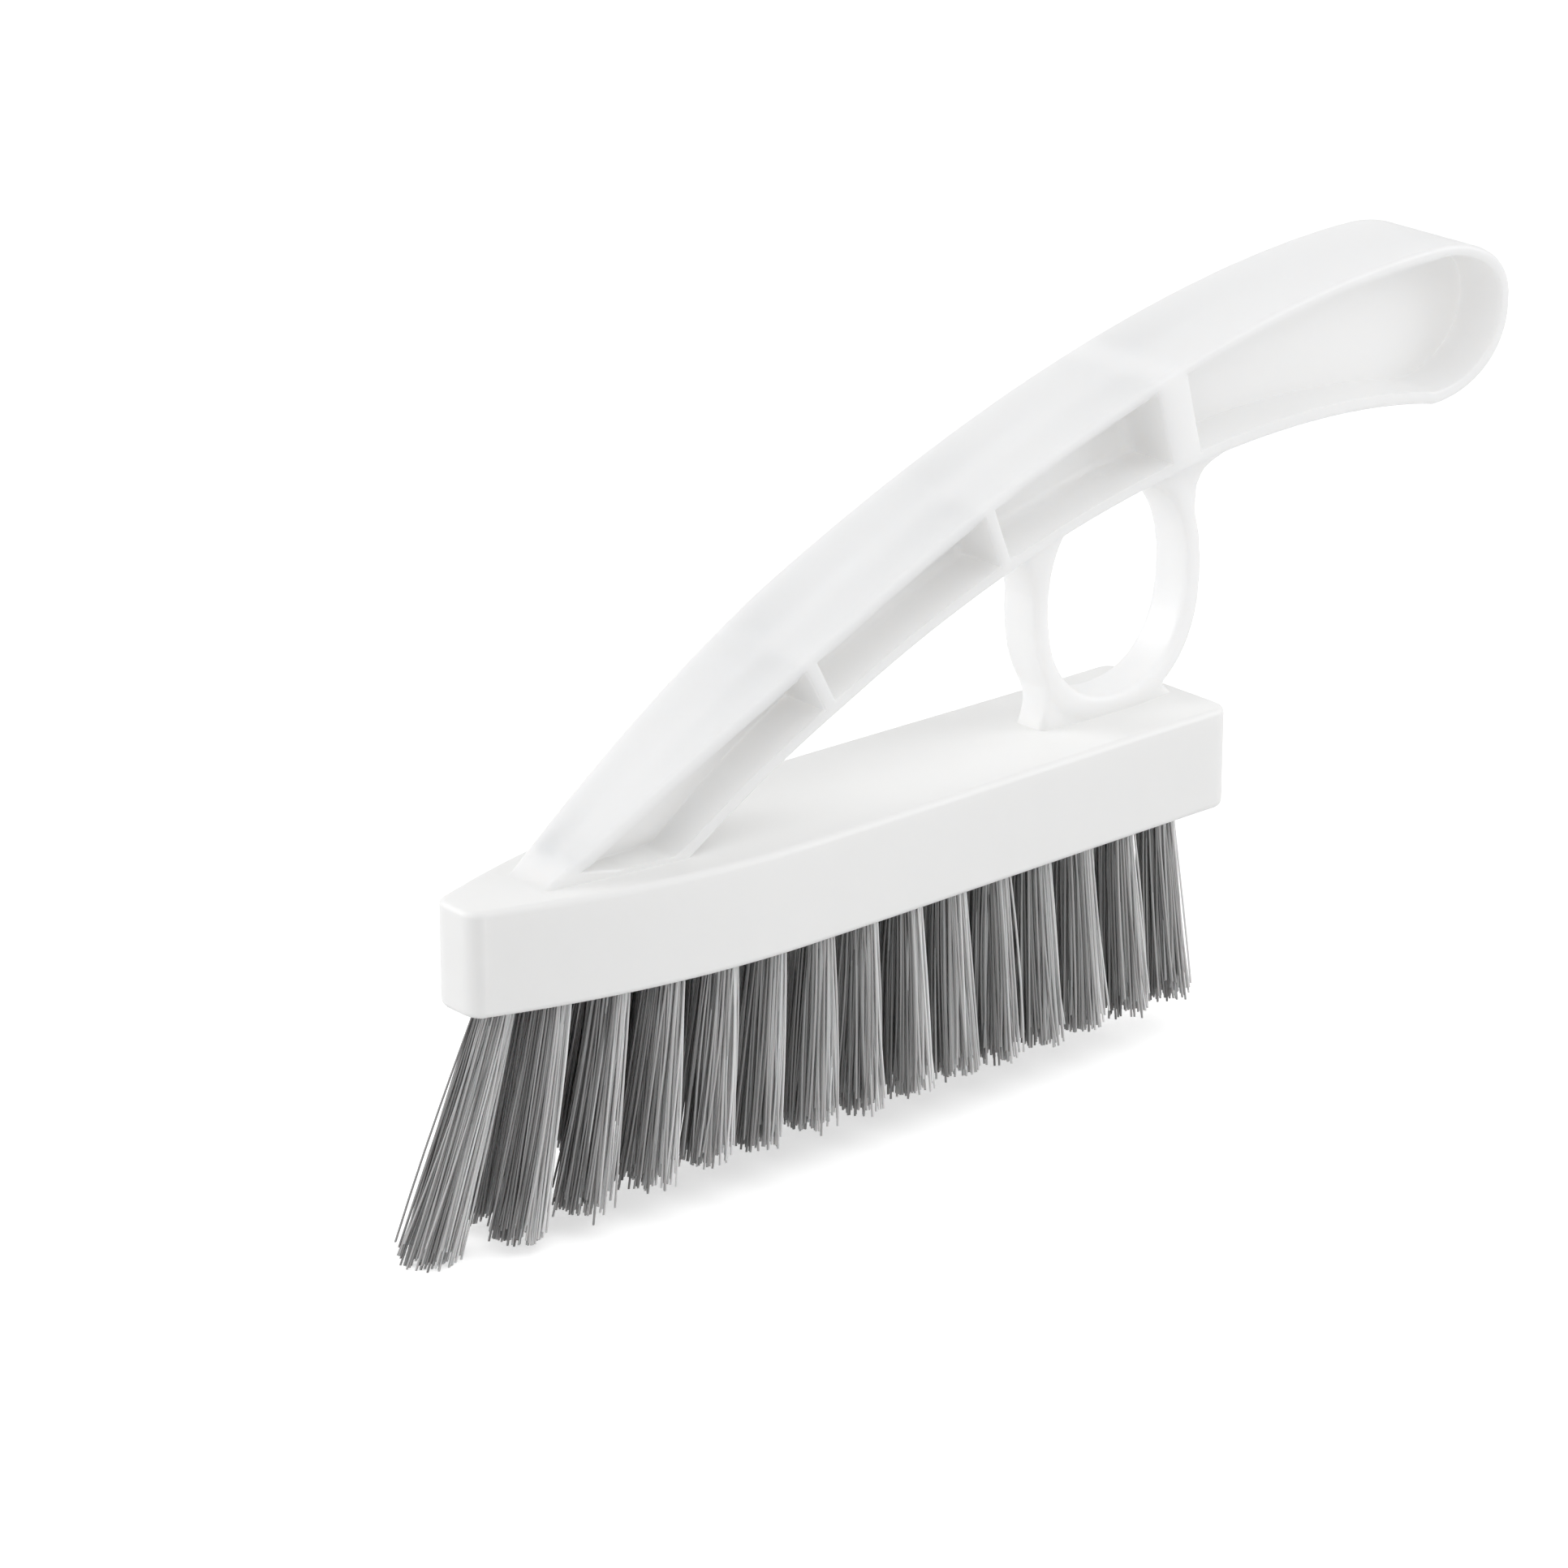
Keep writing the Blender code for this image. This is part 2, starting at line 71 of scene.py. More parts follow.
# An edge is sharp where its faces meet at more than this angle
OUTER_CORNER = math.radians(60)
POCKET_CORNER = math.radians(45)
BODY_CREASE = math.radians(38)
FILAMENT_CREASE = math.radians(75)


# Sizes and colours


def length(name, description, default):
    """A length, given in millimetres."""
    return FloatProperty(
        name=name, description=description, default=default * MM, unit="LENGTH", precision=5
    )


def share(name, description, default):
    return FloatProperty(
        name=name, description=description, default=default, min=0, max=1, subtype="FACTOR"
    )


def angle(name, description, default):
    """An angle, given in degrees."""
    return FloatProperty(name=name, description=description, default=math.radians(default), subtype="ANGLE")


def color(name, description, default):
    return FloatVectorProperty(
        name=name, description=description, default=default, min=0, max=1, subtype="COLOR"
    )


def power(name, description, default):
    return FloatProperty(name=name, description=description, default=default, min=0)


class BlockSizes(PropertyGroup):
    block_length: length("Length", "Block from its nose to its rear", 104.4)
    width: length("Width", "Block at its widest", 21.4)
    height: length("Height", "Block from its underside to its top", 12.1)
    nose_width: length("Nose width", "Flat front end of the block", 6.0)
    rear_width: length("Rear width", "Flat rear end of the block", 19.9)
    widest_x: length("Widest place", "From the nose to where the block is widest", 40.1)
    nose_corner: length("Nose corner radius", "Upright corners at the nose", 1.8)
    rear_corner: length("Rear corner radius", "Upright corners at the rear", 2.2)
    edge: length("Edge radius", "Edges of the top and the underside", 0.8)
    hole_diameter: length("Hole diameter", "Blind hole that holds a tuft", 4.6)
    hole_depth: length("Hole depth", "Blind hole that holds a tuft", 7.5)


class HandleSizes(PropertyGroup):
    foot_x: length("Foot place", "From the nose to the front of the handle's foot", 9.8)
    arch_length: length("Arch length", "From the foot to where the end's rounding starts", 129.1)
    arch_rise: length("Arch rise", "How far the handle rises above the block", 46.8)
    arch_power: power("Arch power", "How fast the arch flattens out", 1.79)
    end_length: length("End rounding", "How far the rounded end reaches past the arch", 12.3)
    end_nose_share: share("End's foremost height", "Height of the end's foremost point, up its side", 0.56)
    end_turn: angle("End turn", "Turn of the end's rounding on each side of its middle", 86)
    end_fullness: power("End fullness", "Under 1 the end is fuller than an ellipse", 0.88)
    foot_thickness: length("Foot thickness", "Handle's thickness at its foot", 12.0)
    waist_thickness: length("Waist thickness", "Handle's least thickness", 8.3)
    end_thickness: length("End thickness", "Handle's thickness where its end starts", 18.9)
    waist_share: share("Waist place", "How far along the arch the handle is thinnest", 0.25)
    thickening_power: power("Thickening power", "How late the handle thickens towards its end", 1.7)
    foot_width: length("Foot width", "Handle's width at its foot", 6.6)
    grip_width: length("Grip width", "Handle's width along the grip", 14.9)
    widening: length("Widening length", "How far the handle widens from its foot", 40.0)
    widening_power: power("Widening power", "How fast the handle reaches its full width", 1.5)
    seat: length("Seat depth", "How deep the handle reaches into the block", 3.0)
    top_flange: length("Top flange", "Wall above the open sides", 1.4)
    bottom_flange: length("Bottom flange", "Wall below the open sides", 1.6)
    end_wall: length("End wall", "Wall round the handle's end", 1.6)
    web: length("Web thickness", "Wall down the handle's middle", 1.8)
    pocket_floor: length("Pocket floor", "How far the open sides stop above the block", 0.6)
    pocket_start: share("First pocket", "How far along the arch the open sides start", 0.03)
    front_rib: share("Front rib", "How far along the arch the front rib stands", 0.256)
    middle_rib: share("Middle rib", "How far along the arch the middle rib stands", 0.454)
    rear_rib: share("Rear rib", "How far along the arch the rib behind the ring stands", 0.668)
    rib: length("Rib thickness", "Front and middle ribs", 1.6)
    rear_rib_thickness: length("Rear rib thickness", "Rib behind the ring", 4.6)
    edge: length("Edge radius", "Handle's outer edges", 0.6)
    pocket_edge: length("Pocket edge radius", "Rims and corners of the open sides", 0.28)
    pocket_fillet: length("Pocket fillet radius", "Where the web meets the walls round it", 1.1)


class RingSizes(PropertyGroup):
    x: length("Place", "From the nose to the ring's middle", 93.3)
    gap: length("Gap", "From the block's top to the ring's hole", 2.2)
    hole: length("Hole height", "Finger ring's hole from its lowest to its highest point", 24.4)
    wall: length("Wall", "Finger ring's wall", 2.6)
    width: length("Width", "Finger ring across the brush", 5.8)
    edge: length("Edge radius", "Finger ring's edges", 0.5)
    squareness: power("Squareness", "Over 2 the ring is squarer than a circle", 2.25)
    narrowness: share("Narrowness", "Ring's length over its height", 0.877)
    neck_front: length("Neck front reach", "How far the upper flare reaches before the ring", 8.3)
    neck_rear: length("Neck rear reach", "How far the upper flare reaches behind the ring's middle", 12.0)
    neck_rear_flare: length("Neck rear flare", "How far the upper flare spreads to the rear", 2.6)
    neck_start: length("Neck start", "Where the upper flare starts above the ring's middle", 2.0)
    neck_flare: length("Neck flare", "Height over which the upper flare widens", 5.0)
    neck_width_share: share("Neck width", "Upper flare's share of the handle's width", 0.93)
    neck_setback: length("Neck setback", "How far the upper flare starts inside the ring's sides", 0.25)
    foot_front: length("Foot front reach", "How far the lower flare reaches before the ring's middle", 10.6)
    foot_rear: length("Foot rear reach", "How far the lower flare reaches behind the ring's middle", 7.4)
    foot_spread: length("Foot spread", "How far the lower flare spreads to the rear", 2.1)
    foot_width: length("Foot width", "Lower flare across the block", 5.4)
    foot_setback: length("Foot setback", "How far the lower flare starts inside the ring's sides", 0.8)
    foot_height: length("Foot height", "How high above the block the lower flare ends", 2.8)
    reach: length("Overlap", "How far the flares reach into the handle and the block", 1.3)
    grain: length("Melting grain", "Mesh size at which the ring and its flares run together", 0.38)
    rounds: IntProperty(name="Melting rounds", description="Smoothing of the ring", default=12, min=0)


class BristleSizes(PropertyGroup):
    filaments: IntProperty(name="Filaments", description="Filaments in a tuft", default=200, min=1)
    diameter: length("Filament diameter", "One filament", 0.26)
    root_radius: length("Root radius", "Packed filaments in their hole", 2.0)
    tip_radius: length("Tip radius", "Spread filaments at the trim", 2.95)
    stray: length("Stray", "How far a tip lies off its place", 0.45)
    bow: length("Bow", "How far a filament bends aside", 0.22)
    ragged: length("Ragged length", "How much shorter a filament may be", 2.8)
    inside: length("Inside", "How far up its hole a filament is modelled", 3.0)
    # The share below is painted light: each tuft's filaments on its rear side are coloured lighter, as if a
    # lamp lit that side
    contrast: share("Contrast", "How much lighter a tuft's rear filaments are", 0.42)


class FinishColors(PropertyGroup):
    plastic: color("Plastic", "White moulding", (0.94, 0.94, 0.933))
    bristle_dark: color("Dark filament", "Darkest filaments", (0.17, 0.17, 0.17))
    bristle_light: color("Light filament", "Lightest filaments", (0.99, 0.99, 0.99))
    steel: color("Anchor", "Steel anchors", (0.6, 0.6, 0.6))
    floor: color("Floor", "Floor under the brush", (0.9, 0.9, 0.9))


class StageSizes(PropertyGroup):
    azimuth: angle("Azimuth", "Camera's turn round the brush", -41.14)
    elevation: angle("Elevation", "Camera's height above the horizon", 20.71)
    distance: length("Distance", "From the camera to the aimed place", 674.1)
    aim_x: length("Aimed place", "From the block's nose to the aimed place", 65.5)
    aside: length("Sideways", "How far right of the camera's axis the aimed place lies", 14.9)
    below: length("Below", "How far below the camera's axis the aimed place lies", 8.8)
    lens: FloatProperty(name="Lens", description="Focal length in millimetres", default=139.2)
    floor_size: length("Floor", "Half the floor's width", 3000.0)
    floor_glow: share("Floor glow", "How much lighter than lit the camera sees the floor", 0.5)
    fill_light: share("Fill light", "Strength of the even light from all round", 0.52)


# Meshes


def blend(start, end, part):
    return start + (end - start) * part


def new_object(name, bm):
    """The bmesh as an object at the origin, carried from the block's nose to its place."""
    bmesh.ops.translate(bm, verts=bm.verts, vec=NOSE)
    bmesh.ops.recalc_face_normals(bm, faces=bm.faces)
    mesh = bpy.data.meshes.new(name)
    bm.to_mesh(mesh)
    bm.free()
    item = bpy.data.objects.new(name, mesh)
    bpy.context.scene.collection.objects.link(item)
    return item


def new_operand(name, bm):
    """A closed shape of triangles, to join or to cut with."""
    bmesh.ops.triangulate(bm, faces=bm.faces)
    return new_object(name, bm)


def sharp_edges(edges, least):
    """The edges whose faces meet at more than the least angle."""
    return [edge for edge in edges if edge.is_manifold and edge.calc_face_angle() > least]


def round_edges(bm, edges, radius, segments):
    bmesh.ops.bevel(
        bm,
        geom=edges,
        offset=radius,
        offset_type="OFFSET",
        segments=segments,
        profile=0.5,
        affect="EDGES",
        clamp_overlap=True,
        material=-1,
    )


def moved_verts(grown):
    return [item for item in grown["geom"] if isinstance(item, bmesh.types.BMVert)]


def combine(base, operation, items):
    """Joins the items to the base, or cuts them from it, and removes them."""
    group = bpy.data.collections.new("operands")
    bpy.context.scene.collection.children.link(group)
    for item in items:
        bpy.context.scene.collection.objects.unlink(item)
        group.objects.link(item)
    boolean = base.modifiers.new(operation, "BOOLEAN")
    boolean.operation = operation
    boolean.solver = "EXACT"
    boolean.operand_type = "COLLECTION"
    boolean.collection = group
    apply_modifiers(base)
    for item in items:
        bpy.data.meshes.remove(item.data)
    bpy.data.collections.remove(group)


def apply_modifiers(item):
    bpy.context.view_layer.update()
    evaluated = item.evaluated_get(bpy.context.evaluated_depsgraph_get())
    mesh = bpy.data.meshes.new_from_object(evaluated)
    item.modifiers.clear()
    old = item.data
    item.data = mesh
    bpy.data.meshes.remove(old)


def dress(item, material, slot, *nodes):
    item.data.materials.clear()
    item.data.materials.append(material)
    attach(item, "root")
    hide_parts(*nodes)


# Materials


def shade(tint, left):
    """The tint with only a share of its light left."""
    return [value * left for value in tint]


class Finish:
    """A material, with short calls for its nodes and links."""

    def __init__(self, name):
        self.material = bpy.data.materials.new(name)
        self.material.use_nodes = True
        self.nodes = self.material.node_tree.nodes
        self.links = self.material.node_tree.links
        self.shader = self.nodes["Principled BSDF"]
        self.place = self.nodes.new("ShaderNodeTexCoord")

    def noise(self, scale, detail=2.0, roughness=0.5):
        made = self.nodes.new("ShaderNodeTexNoise")
        made.inputs["Scale"].default_value = scale
        made.inputs["Detail"].default_value = detail
        made.inputs["Roughness"].default_value = roughness
        self.links.new(self.place.outputs["Object"], made.inputs["Vector"])
        return made.outputs["Fac"]

    def colors(self, value, low, high):
        """The colour between low and high for a value from 0 to 1."""
        made = self.nodes.new("ShaderNodeValToRGB")
        made.color_ramp.elements[0].color = (*low, 1)
        made.color_ramp.elements[1].color = (*high, 1)
        self.links.new(value, made.inputs["Fac"])
        return made.outputs["Color"]

    def height(self):
        made = self.nodes.new("ShaderNodeSeparateXYZ")
        self.links.new(self.place.outputs["Object"], made.inputs["Vector"])
        return made.outputs["Z"]

    def numbers(self, value, low, high, first=0.0, last=1.0):
        """The number between low and high for a value between first and last."""
        made = self.nodes.new("ShaderNodeMapRange")
        made.inputs["From Min"].default_value = first
        made.inputs["From Max"].default_value = last
        made.inputs["To Min"].default_value = low
        made.inputs["To Max"].default_value = high
        self.links.new(value, made.inputs["Value"])
        return made.outputs["Result"]

    def bump(self, height, distance, strength, under=None):
        made = self.nodes.new("ShaderNodeBump")
        made.inputs["Distance"].default_value = distance
        made.inputs["Strength"].default_value = strength
        self.links.new(height, made.inputs["Height"])
        if under:
            self.links.new(under, made.inputs["Normal"])
        return made.outputs["Normal"]

    def drive(self, socket, value):
        self.links.new(value, self.shader.inputs[socket])

    def set(self, **values):
        for socket, value in values.items():
            self.shader.inputs[socket.replace("_", " ")].default_value = value


def white_plastic(tint, solid, thin):
    """Satin plastic with a slow ripple from the mould and a fine texture on it.

    Light passes through its thin walls, which lie above the height thin, and hardly below solid.
    """
    finish = Finish("white plastic")
    height = finish.height()
    cloud = finish.noise(scale=45, detail=3.0)
    ripple = finish.noise(scale=90, detail=1.0)
    grain = finish.noise(scale=2600, detail=3.0, roughness=0.6)
    finish.drive("Base Color", finish.colors(cloud, low=shade(tint, 0.975), high=tint))
    finish.drive("Roughness", finish.numbers(grain, low=0.34, high=0.46))
    slow = finish.bump(ripple, distance=0.12 * MM, strength=0.6)
    finish.drive("Normal", finish.bump(grain, distance=0.012 * MM, strength=0.5, under=slow))
    finish.drive("Subsurface Weight", finish.numbers(height, 0.2, 1.0, first=solid, last=thin))
    finish.drive("Subsurface Scale", finish.numbers(height, 1.5 * MM, 7.5 * MM, first=solid, last=thin))
    finish.set(IOR=1.49, Subsurface_Radius=(1, 0.95, 0.9))
    return finish.material


def grey_bristle(dark, light):
    """Smooth grey filament. An attribute gives each filament a random tone with painted light added, so
    each tuft is lighter on its rear side.
    """
    finish = Finish("grey bristle")
    tone_with_painted_light = finish.nodes.new("ShaderNodeAttribute")
    tone_with_painted_light.attribute_name = "tone_with_painted_light"
    streak = finish.noise(scale=700)
    finish.drive("Base Color", finish.colors(tone_with_painted_light.outputs["Fac"], low=dark, high=light))
    finish.drive("Roughness", finish.numbers(streak, low=0.28, high=0.5))
    finish.drive("Normal", finish.bump(streak, distance=0.04 * MM, strength=0.5))
    finish.set(IOR=1.53, Subsurface_Weight=0.05, Subsurface_Scale=0.6 * MM)
    return finish.material


def anchor_steel(tint):
    """Bright rolled strip with fine marks."""
    finish = Finish("anchor steel")
    marks = finish.noise(scale=3000)
    finish.drive("Base Color", finish.colors(marks, low=shade(tint, 0.9), high=tint))
    finish.drive("Roughness", finish.numbers(marks, low=0.22, high=0.42))
    finish.set(Metallic=1.0)
    return finish.material


def pale_floor(tint, glow_strength):
    """White to the camera, with the brush's shadow left on it."""
    finish = Finish("pale floor")
    finish.nodes.remove(finish.shader)
    diffuse = finish.nodes.new("ShaderNodeBsdfDiffuse")
    diffuse.inputs["Color"].default_value = (*tint, 1)
    path = finish.nodes.new("ShaderNodeLightPath")
    glow = finish.nodes.new("ShaderNodeEmission")
    glow.inputs["Color"].default_value = (1, 1, 1, 1)
    seen = finish.numbers(path.outputs["Is Camera Ray"], 0, glow_strength)
    finish.links.new(seen, glow.inputs["Strength"])
    both = finish.nodes.new("ShaderNodeAddShader")
    finish.links.new(diffuse.outputs["BSDF"], both.inputs[0])
    finish.links.new(glow.outputs["Emission"], both.inputs[1])
    finish.links.new(both.outputs["Shader"], finish.nodes["Material Output"].inputs["Surface"])
    return finish.material


# Block


def block_half_width(block, x):
    """Half the block's width at x, before its corners are rounded."""
    if x < block.widest_x:
        return blend(block.width, block.nose_width, (1 - x / block.widest_x) ** 2) / 2
    part = (x - block.widest_x) / (block.block_length - block.widest_x)
    return blend(block.width, block.rear_width, part * part * (3 - 2 * part)) / 2


def block_side(block, corner_steps=8, side_steps=72):
    """The plan outline on one side, as (x, half width) from the nose to the rear."""
    points = []
    radius = block.nose_corner
    for turn in np.linspace(0, math.pi / 2, corner_steps + 1):
        half = blend(block.nose_width / 2 - radius, block_half_width(block, radius), math.sin(turn))
        points.append((radius - radius * math.cos(turn), half))
    radius = block.rear_corner
    for x in np.linspace(block.nose_corner, block.block_length - radius, side_steps + 1)[1:-1]:
        points.append((x, block_half_width(block, x)))
    for turn in np.linspace(0, math.pi / 2, corner_steps + 1):
        x = block.block_length - radius + radius * math.sin(turn)
        points.append((x, block.rear_width / 2 - radius + radius * math.cos(turn)))
    return points


def make_block(block):
    side = block_side(block)
    outline = [(x, -half) for x, half in side] + [(x, half) for x, half in reversed(side)]
    bm = bmesh.new()
    bm.faces.new([bm.verts.new((x, y, 0)) for x, y in outline])
    grown = bmesh.ops.extrude_face_region(bm, geom=bm.faces[:])
    bmesh.ops.translate(bm, verts=moved_verts(grown), vec=(0, 0, block.height))
    rims = [edge for edge in bm.edges if abs(edge.verts[0].co.z - edge.verts[1].co.z) < block.edge]
    bmesh.ops.recalc_face_normals(bm, faces=bm.faces)
    round_edges(bm, rims, block.edge, segments=5)
    return new_operand("block", bm)


def make_tuft_holes(block):
    """The cutters of the blind holes, one over each anchor."""
    overrun = block.hole_diameter / 2
    bm = bmesh.new()
    for place in TUFTS:
        x, y = root_of(place)
        made = bmesh.ops.create_cone(
            bm,
            cap_ends=True,
            segments=32,
            radius1=block.hole_diameter / 2,
            radius2=block.hole_diameter / 2,
            depth=block.hole_depth + overrun,
        )
        middle = (block.hole_depth - overrun) / 2
        bmesh.ops.translate(bm, verts=made["verts"], vec=(x - NOSE.x, y, middle))
    return new_operand("tuft holes", bm)


# Handle


def handle_half_width(handle, x):
    part = min(max((x - handle.foot_x) / handle.widening, 0), 1)
    return blend(handle.foot_width, handle.grip_width, 1 - (1 - part) ** handle.widening_power) / 2


def handle_thickness(handle, part):
    waist = handle.waist_share
    if part < waist:
        return blend(handle.waist_thickness, handle.foot_thickness, (1 - part / waist) ** 2)
    past_waist = (part - waist) / (1 - waist)
    return blend(handle.waist_thickness, handle.end_thickness, past_waist**handle.thickening_power)


def handle_rung(block, handle, part, top_inset=0.0, bottom_inset=0.0, end_inset=0.0):
    """The lower and upper point of the side outline, as (x, z), moved in by the insets.

    part runs from 0 at the foot to 1 where the end's rounding starts, and to 2 at the end.
    """
    along = min(part, 1)
    left = 1 - along
    x = handle.foot_x + handle.arch_length * along
    z = block.height + handle.arch_rise * (1 - left**handle.arch_power)
    slope = math.atan(
        handle.arch_rise / handle.arch_length * handle.arch_power * left ** (handle.arch_power - 1)
    )
    down = np.array([math.sin(slope), -math.cos(slope)])
    upper = np.array([x, z]) + down * top_inset
    lower = np.array([x, z]) + down * (handle_thickness(handle, along) - bottom_inset)
    if part <= 1:
        return lower, upper
    turn = (part - 1) * handle.end_turn
    reach = (handle.end_length - end_inset) * math.sin(turn) / math.sin(handle.end_turn)
    middle = z - handle.end_thickness * (1 - handle.end_nose_share)
    spread = math.cos(turn) ** handle.end_fullness
    upper = np.array([x + reach, blend(middle, upper[1], spread)])
    lower = np.array([x + reach, blend(middle, lower[1], spread)])
    return lower, upper


def pocket_stretches(handle):
    """The stretches of the open sides between the foot, the cross ribs and the end."""
    stretches = []
    start = handle.pocket_start
    ribs = (
        (handle.front_rib, handle.rib),
        (handle.middle_rib, handle.rib),
        (handle.rear_rib, handle.rear_rib_thickness),
    )
    for middle, thickness in ribs:
        half = thickness / 2 / handle.arch_length
        stretches.append((start, middle - half))
        start = middle + half
    return stretches + [(start, 2.0)]


def handle_parts(stretches, arch_start=-0.02, arch_steps=110, end_steps=24, least_step=0.6):
    """The rungs' places along the handle, among them the ends of the open stretches.

    No other rung stands nearer to such an end than the least share of a step.
    """
    ends = sorted({end for stretch in stretches for end in stretch})
    arch = np.linspace(arch_start, 1, arch_steps + 1)
    least = least_step * (arch[1] - arch[0])
    kept = [part for part in arch if min(abs(part - end) for end in ends) > least]
    return sorted([*kept, *np.linspace(1, 2, end_steps + 1)[1:-1], *ends])


def handle_point(block, handle, parts, stretches, column, row):
    """The x and z of a point of the side's grid, whose rows 1 and 2 are the rims of the open sides."""
    part = parts[min(column, len(parts) - 1)]
    lower, upper = handle_rung(block, handle, part)
    lower[1] = max(lower[1], block.height - handle.seat)
    if row in (0, 3):
        return upper if row else lower
    if part < stretches[0][0]:
        return blend(lower, upper, row / 3)
    rims = handle_rung(block, handle, part, handle.top_flange, handle.bottom_flange, handle.end_wall)
    x, z = rims[row - 1]
    if column == len(parts):
        x = upper[0]
    return x, max(z, block.height + handle.pocket_floor)


def make_handle(block, handle):
    stretches = pocket_stretches(handle)
    parts = handle_parts(stretches)
    columns = len(parts)
    bm = bmesh.new()
    pocket = bm.faces.layers.int.new("pocket")
    bmesh.ops.create_grid(bm, x_segments=columns, y_segments=3, size=0.5)
    for face in bm.faces:
        middle = face.calc_center_median()
        column = math.floor((middle.x + 0.5) * columns)
        if math.floor((middle.y + 0.5) * 3) == 1 and column + 1 < columns:
            for number, (first, last) in enumerate(stretches, 1):
                if first <= parts[column] and parts[column + 1] <= last:
                    face[pocket] = number
    for vert in bm.verts:
        column = round((vert.co.x + 0.5) * columns)
        row = round((vert.co.y + 0.5) * 3)
        x, z = handle_point(block, handle, parts, stretches, column, row)
        vert.co = (x, -handle_half_width(handle, x), z)
    bmesh.ops.remove_doubles(bm, verts=bm.verts, dist=0.002 * MM)
    grown = bmesh.ops.extrude_face_region(bm, geom=bm.faces[:])
    for vert in moved_verts(grown):
        vert.co.y = -vert.co.y
    bmesh.ops.recalc_face_normals(bm, faces=bm.faces)
    outer = [
        edge
        for edge in sharp_edges(bm.edges, OUTER_CORNER)
        if max(vert.co.z for vert in edge.verts) > block.height - handle.seat / 2
    ]
    round_edges(bm, outer, handle.edge, segments=4)
    for number in range(1, len(stretches) + 1):
        for side in (-1, 1):
            sink_pocket(bm, pocket, number, side, handle)
    return new_operand("handle", bm)


def sink_pocket(bm, pocket, number, side, handle):
    """Sinks one open stretch of one side down to the web, and rounds its rim and corners."""
    faces = [face for face in bm.faces if face[pocket] == number]
    faces = [face for face in faces if face.calc_center_median().y * side > 0]
    for face in faces:
        face[pocket] = 0
    edges = {edge for face in faces for edge in face.edges}
    grown = bmesh.ops.extrude_face_region(bm, geom=[*faces, *edges])
    floor = moved_verts(grown)
    for vert in floor:
        vert.co.y = side * handle.web / 2
    edges = {edge for vert in floor for face in vert.link_faces for edge in face.edges}
    sharp = sharp_edges(edges, POCKET_CORNER)
    low = [edge for edge in sharp if max(abs(vert.co.y) for vert in edge.verts) < handle.web]
    round_edges(bm, [edge for edge in sharp if edge not in low], handle.pocket_edge, segments=3)
    low = [edge for edge in low if edge.is_valid]
    round_edges(bm, low, handle.pocket_fillet, segments=5)


# Finger ring


def ring_z(block, ring):
    return block.height + ring.gap + ring.hole / 2


def ring_swell(ring, place):
    """How much farther out than a circle the squarish ring lies towards the place, as x, y and z."""
    out = math.hypot(place.x, place.z)
    x, z = abs(place.x) / out / ring.narrowness, abs(place.z) / out
    swell = (x**ring.squareness + z**ring.squareness) ** (-1 / ring.squareness)
    return Vector((swell, 1, swell))


def ring_crown(ring, x):
    """How far the middle of the ring's wall lies above or below its centre at x."""
    middle = ring.hole / 2 + ring.wall / 2
    along = min(abs(x - ring.x) / middle / ring.narrowness, 1)
    return middle * (1 - along**ring.squareness) ** (1 / ring.squareness)


def make_ring_hoop(block, ring):
    bm = bmesh.new()
    inner = ring.hole / 2
    corners = [(inner, -1), (inner + ring.wall, -1), (inner + ring.wall, 1), (inner, 1)]
    verts = [bm.verts.new((r, side * ring.width / 2, 0)) for r, side in corners]
    edges = [bm.edges.new((verts[k], verts[(k + 1) % 4])) for k in range(4)]
    bmesh.ops.spin(
        bm,
        geom=verts + edges,
        cent=(0, 0, 0),
        axis=(0, 1, 0),
        angle=2 * math.pi,
        steps=112,
        use_merge=True,
    )
    for vert in bm.verts:
        vert.co *= ring_swell(ring, vert.co)
    bmesh.ops.recalc_face_normals(bm, faces=bm.faces)
    round_edges(bm, sharp_edges(bm.edges, OUTER_CORNER), ring.edge, segments=4)
    bmesh.ops.translate(bm, verts=bm.verts, vec=(ring.x, 0, ring_z(block, ring)))
    return new_operand("ring hoop", bm)


def make_ring_neck(block, handle, ring, columns=48, rows=14):
    """The flare between the ring and the handle's underside."""
    rungs = np.array([handle_rung(block, handle, part)[0] for part in np.linspace(0, 1, 200)])
    hoop_front = ring.x - (ring.hole / 2 + ring.wall) * ring.narrowness
    front = hoop_front - ring.neck_front
    middle = ring_z(block, ring)

    def underside(x):
        return float(np.interp(x, rungs[:, 0], rungs[:, 1]))

    def bottom(x):
        start = middle + ring.neck_start
        if x < hoop_front:
            part = (x - front) / ring.neck_front
            return blend(underside(x), start, 1 - math.sqrt(1 - part**2))
        return min(max(start, middle + ring_crown(ring, x)), underside(x))

    def half_width(x, z):
        part = min(max((underside(x) - z) / ring.neck_flare, 0), 1)
        widest = handle_half_width(handle, x) * ring.neck_width_share
        return blend(widest, ring.width / 2 - ring.neck_setback, 1 - (1 - part) ** 2)

    bm = bmesh.new()
    bmesh.ops.create_grid(bm, x_segments=columns, y_segments=rows, size=0.5)
    for vert in bm.verts:
        along, up = vert.co.x + 0.5, vert.co.y + 0.5
        x = blend(front, ring.x + ring.neck_rear + ring.neck_rear_flare * up**3, along)
        z = blend(bottom(x), underside(x) + ring.reach, up)
        vert.co = (x, -half_width(x, z), z)
    grown = bmesh.ops.extrude_face_region(bm, geom=bm.faces[:])
    for vert in moved_verts(grown):
        vert.co.y = -vert.co.y
    return new_operand("ring neck", bm)


